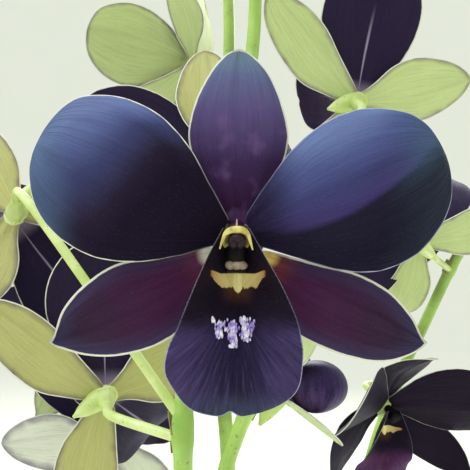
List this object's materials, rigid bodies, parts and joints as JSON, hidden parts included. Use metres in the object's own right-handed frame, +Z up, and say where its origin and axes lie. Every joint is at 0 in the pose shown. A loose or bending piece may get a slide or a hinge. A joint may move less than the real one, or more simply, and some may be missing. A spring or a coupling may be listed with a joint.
{
  "type": "potted dendrobium orchid",
  "caption": "Clay pot of bark mix with a clump of leafy orchid canes, each sending up a tall spike of dark purple flowers and buds.",
  "frame": {"origin": "centre of the pot's underside", "axes": "+Z up through the pot and plant, -Y towards the side that the nearest flower faces, +X to the right seen from there"},
  "size_m": [0.2902, 0.272, 0.7015],
  "materials": {
    "fired_clay": "matte",
    "bark_mix": "matte",
    "cane_skin": "satin",
    "leaf_blade": "satin",
    "flower_stem": "satin",
    "tepal": "matte",
    "lip": "matte",
    "column": "satin",
    "bud_skin": "satin"
  },
  "bodies": {
    "root": {"bud_1": "bud_skin", "bud_2": "bud_skin", "bud_3": "bud_skin", "bud_4": "bud_skin", "bud_5": "bud_skin", "bud_6": "bud_skin", "bud_7": "bud_skin", "bud_8": "bud_skin", "cane_1": "cane_skin", "cane_2": "cane_skin", "cane_3": "cane_skin", "cane_4": "cane_skin", "flower_1_anther_cap": "column", "flower_1_column": "column", "flower_1_dorsal_sepal": "tepal", "flower_1_lip": "lip", "flower_1_pedicel": "flower_stem", "flower_1_petal_left": "tepal", "flower_1_petal_right": "tepal", "flower_1_sepal_left": "tepal", "flower_1_sepal_right": "tepal", "flower_2": "tepal", "flower_2_lip": "lip", "flower_3": "tepal", "flower_3_lip": "lip", "flower_4": "tepal", "flower_4_lip": "lip", "flower_5": "tepal", "flower_5_lip": "lip", "flower_6": "tepal", "flower_6_lip": "lip", "flower_7": "tepal", "flower_7_lip": "lip", "flower_8": "tepal", "flower_8_lip": "lip", "flower_9": "tepal", "flower_9_lip": "lip", "flower_10": "tepal", "flower_10_lip": "lip", "flower_11": "tepal", "flower_11_petals": "tepal", "leaf_1": "leaf_blade", "leaf_2": "leaf_blade", "leaf_3": "leaf_blade", "leaf_4": "leaf_blade", "leaf_5": "leaf_blade", "leaf_6": "leaf_blade", "leaf_7": "leaf_blade", "leaf_8": "leaf_blade", "leaf_9": "leaf_blade", "leaf_10": "leaf_blade", "leaf_11": "leaf_blade", "pot": "fired_clay", "potting_mix": "bark_mix", "spike_1": "flower_stem", "spike_2": "flower_stem", "spike_3": "flower_stem", "spike_4": "flower_stem"}
  },
  "joints": []
}
